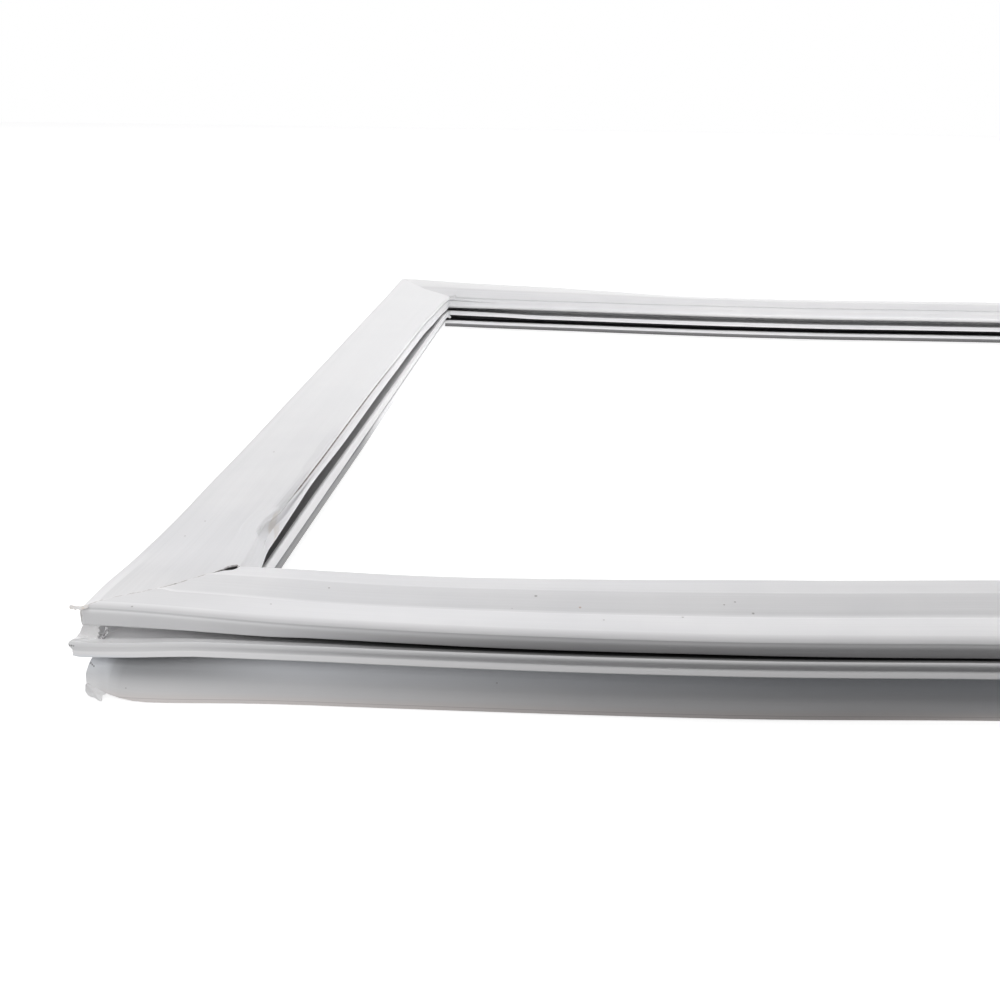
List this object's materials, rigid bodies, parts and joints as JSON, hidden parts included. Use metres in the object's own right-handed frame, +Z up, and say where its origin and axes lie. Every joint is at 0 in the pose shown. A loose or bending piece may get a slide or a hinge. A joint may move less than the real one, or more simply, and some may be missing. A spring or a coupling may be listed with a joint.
{
  "type": "refrigerator door gasket",
  "caption": "Rectangular magnetic door seal welded from a soft hollow extrusion, with sealing head, bellows, lip, barbed anchor and skirt; a corner weld is split open",
  "frame": {"origin": "centre of the bounding box in X and Y, at the resting plane under the anchor and skirt", "axes": "Z up, out of the sealing face; X along the longer pair of sides; Y along the shorter pair, from front to back"},
  "size_m": [0.7082, 0.5766, 0.0248],
  "materials": {
    "gasket_frame": "soft white PVC, satin",
    "magnet_strip": "flexible ferrite magnet, matte"
  },
  "bodies": {
    "root": {"gasket_frame": "gasket_frame", "magnet_strip_front": "magnet_strip", "magnet_strip_right": "magnet_strip", "magnet_strip_back": "magnet_strip", "magnet_strip_left": "magnet_strip"}
  },
  "joints": []
}
